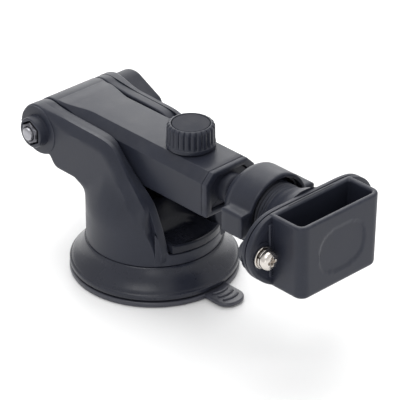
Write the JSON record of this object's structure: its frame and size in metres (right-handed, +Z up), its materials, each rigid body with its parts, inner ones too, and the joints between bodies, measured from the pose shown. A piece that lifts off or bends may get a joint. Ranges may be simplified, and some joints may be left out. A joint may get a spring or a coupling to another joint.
{
  "type": "dash camera mount",
  "caption": "Suction-cup dash camera mount with a locking lever, a folding telescopic arm, a ball joint and an open-topped box holder.",
  "frame": {"origin": "centre of the suction cup's underside, on the surface that it sticks to", "axes": "+Z up from that surface, +X along the folded arm from the pivot to the holder, +Y to the paddle knob's side"},
  "size_m": [0.1614, 0.0702, 0.074],
  "materials": {
    "satin_plastic": "satin charcoal moulded plastic with a faint spark-eroded grain",
    "dark_plastic": "satin black moulded plastic",
    "gloss_black": "polished black plastic",
    "acetal": "smooth black acetal",
    "cup_rubber": "smooth soft black elastomer",
    "friction_washer": "matt pressed fibre",
    "steel": "bright zinc-plated steel",
    "black_steel": "black-zinc steel",
    "brass": "turned brass"
  },
  "bodies": {
    "base": {"base_body": "dark_plastic", "suction_cup": "cup_rubber", "cup_skirt": "dark_plastic", "skirt_screw_1": "steel", "skirt_screw_2": "steel", "skirt_screw_3": "steel", "cup_spring": "steel", "near_side_cover": "satin_plastic", "far_side_cover": "satin_plastic", "pivot_nut": "black_steel", "near_pivot_washer": "friction_washer", "far_pivot_washer": "friction_washer"},
    "stud": {"cup_stud": "acetal"},
    "lever": {"lock_lever": "gloss_black", "lever_pin": "steel"},
    "pivot_screw": {"pivot_knob": "dark_plastic", "pivot_bolt": "black_steel"},
    "arm": {"arm_shell": "satin_plastic", "arm_bottom_cover": "satin_plastic", "arm_end_cap": "satin_plastic", "arm_screw_1": "black_steel", "arm_screw_2": "black_steel", "slide_nut": "brass", "brake_pad": "cup_rubber"},
    "slide_screw": {"slide_knob": "dark_plastic", "slide_knob_cap": "dark_plastic", "slide_knob_stud": "steel"},
    "telescope": {"inner_arm": "dark_plastic", "inner_arm_stop": "acetal", "ball_stud": "dark_plastic"},
    "liner": {"ball_liner": "acetal"},
    "ring": {"clamp_ring": "acetal"},
    "holder": {"socket_plate": "satin_plastic", "holder_box": "satin_plastic", "near_plate_screw": "steel", "near_flat_washer": "steel", "near_spring_washer": "steel", "near_plate_insert": "brass", "far_plate_screw": "steel", "far_flat_washer": "steel", "far_spring_washer": "steel", "far_plate_insert": "brass"},
    "nut": {"lock_nut": "satin_plastic"}
  },
  "joints": [
    {"name": "arm_pivot", "type": "hinge", "parent": "base", "child": "arm", "pos_m": [-0.0458, 0, 0.0525], "axis": [0, -1, 0], "range_deg": [0, 150]},
    {"name": "pivot_knob_turn", "type": "hinge", "parent": "base", "child": "pivot_screw", "pos_m": [-0.0458, 0, 0.0525], "axis": [0, 1, 0], "range_deg": [0, 270]},
    {"name": "arm_slide", "type": "slide", "parent": "arm", "child": "telescope", "axis": [1, 0, 0], "range_m": [0, 0.04]},
    {"name": "slide_knob_turn", "type": "hinge", "parent": "arm", "child": "slide_screw", "pos_m": [0.022, 0, 0.0642], "axis": [0, 0, 1], "range_deg": [0, 270]},
    {"name": "ball_roll", "type": "hinge", "parent": "telescope", "child": "liner", "pos_m": [0.06, 0, 0.054], "axis": [1, 0, 0], "range_deg": [-180, 180]},
    {"name": "ball_yaw", "type": "hinge", "parent": "liner", "child": "ring", "pos_m": [0.06, 0, 0.054], "axis": [0, 0, 1], "range_deg": [-15, 15]},
    {"name": "ball_pitch", "type": "hinge", "parent": "ring", "child": "holder", "pos_m": [0.06, 0, 0.054], "axis": [0, 1, 0], "range_deg": [-15, 15]},
    {"name": "lock_nut_turn", "type": "hinge", "parent": "holder", "child": "nut", "pos_m": [0.06, 0, 0.054], "axis": [1, 0, 0], "range_deg": [0, 180]},
    {"name": "stud_drop", "type": "slide", "parent": "base", "child": "stud", "axis": [0, 0, -1], "range_m": [0, 0.00081]},
    {"name": "lever_lift", "type": "hinge", "parent": "stud", "child": "lever", "pos_m": [0, 0, 0.024], "axis": [0, -1, 0], "range_deg": [0, 30]}
  ],
  "couplings": [
    {"joint": "stud_drop", "follows": "lever_lift", "m_per_rad": 0.0015279}
  ]
}
